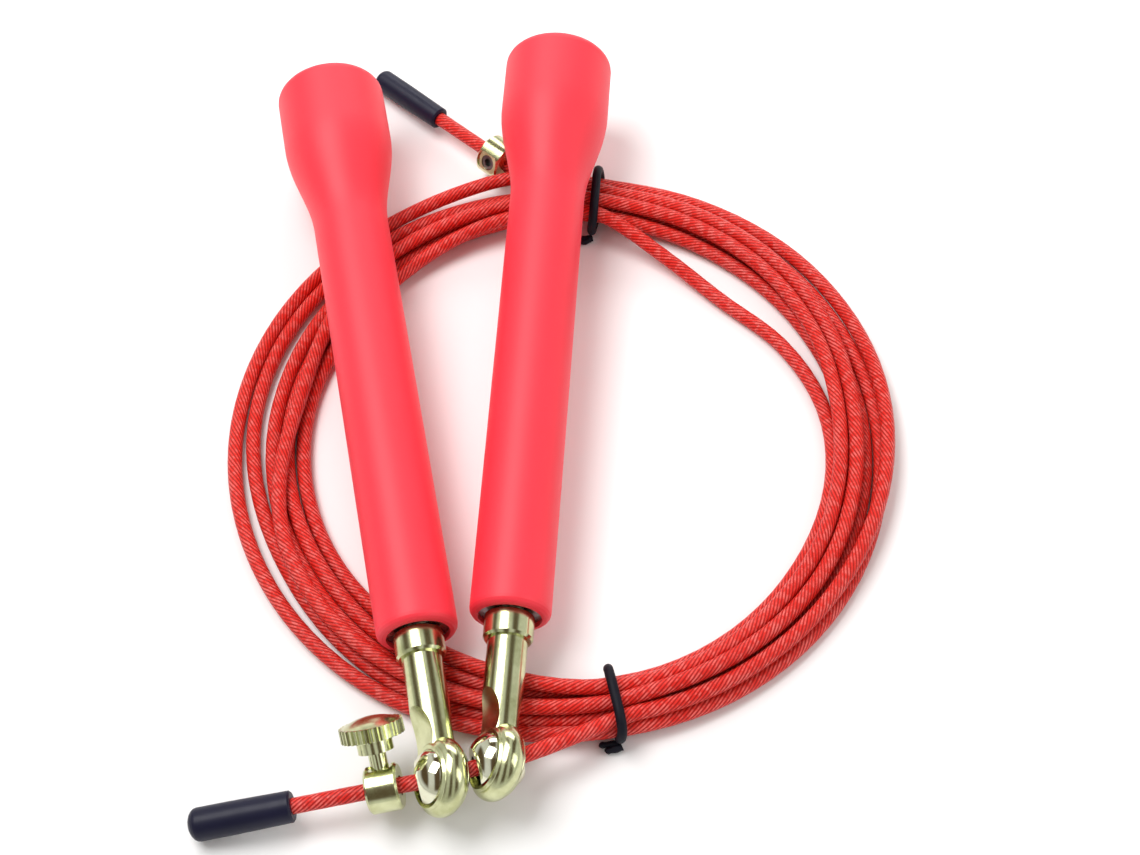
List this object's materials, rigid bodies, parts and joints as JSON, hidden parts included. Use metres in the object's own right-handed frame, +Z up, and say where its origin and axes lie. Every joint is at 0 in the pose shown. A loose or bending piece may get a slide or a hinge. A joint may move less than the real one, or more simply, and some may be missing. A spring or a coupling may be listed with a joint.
{
  "type": "skipping rope",
  "caption": "Speed skipping rope with ball-jointed bearing handles, adjustable stops and a thin coated cable, coiled and tied.",
  "frame": {"origin": "on the surface it lies on, under the middle of the coil's near arc, between the two pivot balls' side and the handles' wide ends", "axes": "+Z up from the surface; +Y across the coil from the pivot balls to the handles' wide ends; +X to the right"},
  "size_m": [0.1602, 0.2113, 0.0344],
  "materials": {
    "grip": "satin moulded plastic, red",
    "cable": "clear red coating over twisted steel wire",
    "cap": "dark navy plastic, semi-gloss",
    "tie": "black coated soft wire",
    "metal": "polished, pale champagne",
    "ball": "mirror polished",
    "dark_steel": "plain steel",
    "bearing_steel": "ground steel",
    "cage": "pressed brass"
  },
  "bodies": {
    "rope": {"cable_coil": "cable", "cable_tail_a": "cable", "cable_tail_b": "cable", "end_cap_a": "cap", "end_cap_b": "cap", "tie_near": "tie", "tie_far": "tie"},
    "stop_a": {"stop_collar_a": "metal"},
    "screw_a": {"thumb_screw_a": "metal"},
    "stop_b": {"stop_collar_b": "metal"},
    "screw_b": {"set_screw_b": "dark_steel"},
    "left_ball": {"left_pivot_ball": "ball"},
    "left_swivel_body": {"left_swivel": "metal", "left_spacer": "bearing_steel", "left_washer": "bearing_steel", "left_lock_nut": "bearing_steel", "left_front_inner_race": "bearing_steel", "left_rear_inner_race": "bearing_steel"},
    "left_grip_body": {"left_grip": "grip", "left_end_plug": "grip", "left_front_outer_race": "bearing_steel", "left_front_shield": "bearing_steel", "left_rear_outer_race": "bearing_steel", "left_rear_shield": "bearing_steel"},
    "left_front_rolling": {"left_front_balls": "bearing_steel", "left_front_cage": "cage"},
    "left_rear_rolling": {"left_rear_balls": "bearing_steel", "left_rear_cage": "cage"},
    "right_ball": {"right_pivot_ball": "ball"},
    "right_swivel_body": {"right_swivel": "metal", "right_spacer": "bearing_steel", "right_washer": "bearing_steel", "right_lock_nut": "bearing_steel", "right_front_inner_race": "bearing_steel", "right_rear_inner_race": "bearing_steel"},
    "right_grip_body": {"right_grip": "grip", "right_end_plug": "grip", "right_front_outer_race": "bearing_steel", "right_front_shield": "bearing_steel", "right_rear_outer_race": "bearing_steel", "right_rear_shield": "bearing_steel"},
    "right_front_rolling": {"right_front_balls": "bearing_steel", "right_front_cage": "cage"},
    "right_rear_rolling": {"right_rear_balls": "bearing_steel", "right_rear_cage": "cage"}
  },
  "joints": [
    {"name": "left_swing", "type": "hinge", "parent": "rope", "child": "left_ball", "pos_m": [-0.0278, -0.01797, 0.0116], "axis": [0.9816, 0.1793, 0.0661], "range_deg": [0, 60]},
    {"name": "left_tilt", "type": "hinge", "parent": "left_ball", "child": "left_swivel_body", "pos_m": [-0.0278, -0.01797, 0.0116], "axis": [0.8456, 0.1412, -0.5148], "range_deg": [0, 9]},
    {"name": "left_spin", "type": "hinge", "parent": "left_swivel_body", "child": "left_grip_body", "pos_m": [-0.03364, 0.02158, 0.01286], "axis": [-0.146, 0.9888, 0.0314], "continuous": true},
    {"name": "left_front_roll", "type": "hinge", "parent": "left_swivel_body", "child": "left_front_rolling", "pos_m": [-0.03316, 0.01832, 0.01275], "axis": [-0.146, 0.9888, 0.0314], "continuous": true},
    {"name": "left_rear_roll", "type": "hinge", "parent": "left_swivel_body", "child": "left_rear_rolling", "pos_m": [-0.03622, 0.03908, 0.01341], "axis": [-0.146, 0.9888, 0.0314], "continuous": true},
    {"name": "right_swing", "type": "hinge", "parent": "rope", "child": "right_ball", "pos_m": [-0.0161, -0.0151, 0.0116], "axis": [0.9552, 0.2786, -0.0995], "range_deg": [0, 90]},
    {"name": "right_tilt", "type": "hinge", "parent": "right_ball", "child": "right_swivel_body", "pos_m": [-0.0161, -0.0151, 0.0116], "axis": [0.8371, -0.0593, -0.5439], "range_deg": [0, 80]},
    {"name": "right_spin", "type": "hinge", "parent": "right_swivel_body", "child": "right_grip_body", "pos_m": [-0.01192, 0.02463, 0.01369], "axis": [0.1044, 0.9932, 0.0523], "continuous": true},
    {"name": "right_front_roll", "type": "hinge", "parent": "right_swivel_body", "child": "right_front_rolling", "pos_m": [-0.01227, 0.02135, 0.01352], "axis": [0.1044, 0.9932, 0.0523], "continuous": true},
    {"name": "right_rear_roll", "type": "hinge", "parent": "right_swivel_body", "child": "right_rear_rolling", "pos_m": [-0.01008, 0.04221, 0.01462], "axis": [0.1044, 0.9932, 0.0523], "continuous": true},
    {"name": "stop_a_slide", "type": "slide", "parent": "rope", "child": "stop_a", "axis": [-0.9848, -0.0985, -0.1428], "range_m": [0, 0.014]},
    {"name": "screw_a_turn", "type": "hinge", "parent": "stop_a", "child": "screw_a", "pos_m": [-0.0398, -0.01917, 0.00986], "axis": [-0.164, 0.7967, 0.5818], "range_deg": [0, 1080]},
    {"name": "stop_b_slide", "type": "slide", "parent": "rope", "child": "stop_b", "axis": [-0.706, 0.706, -0.0565], "range_m": [0, 0.016]},
    {"name": "screw_b_turn", "type": "hinge", "parent": "stop_b", "child": "screw_b", "pos_m": [-0.013, 0.1525, 0.00592], "axis": [-0.6577, -0.624, 0.4219], "range_deg": [0, 720]}
  ],
  "couplings": [
    {"joint": "left_front_roll", "follows": "left_spin", "ratio": 0.6316},
    {"joint": "left_rear_roll", "follows": "left_spin", "ratio": 0.6316},
    {"joint": "right_front_roll", "follows": "right_spin", "ratio": 0.6316},
    {"joint": "right_rear_roll", "follows": "right_spin", "ratio": 0.6316}
  ]
}
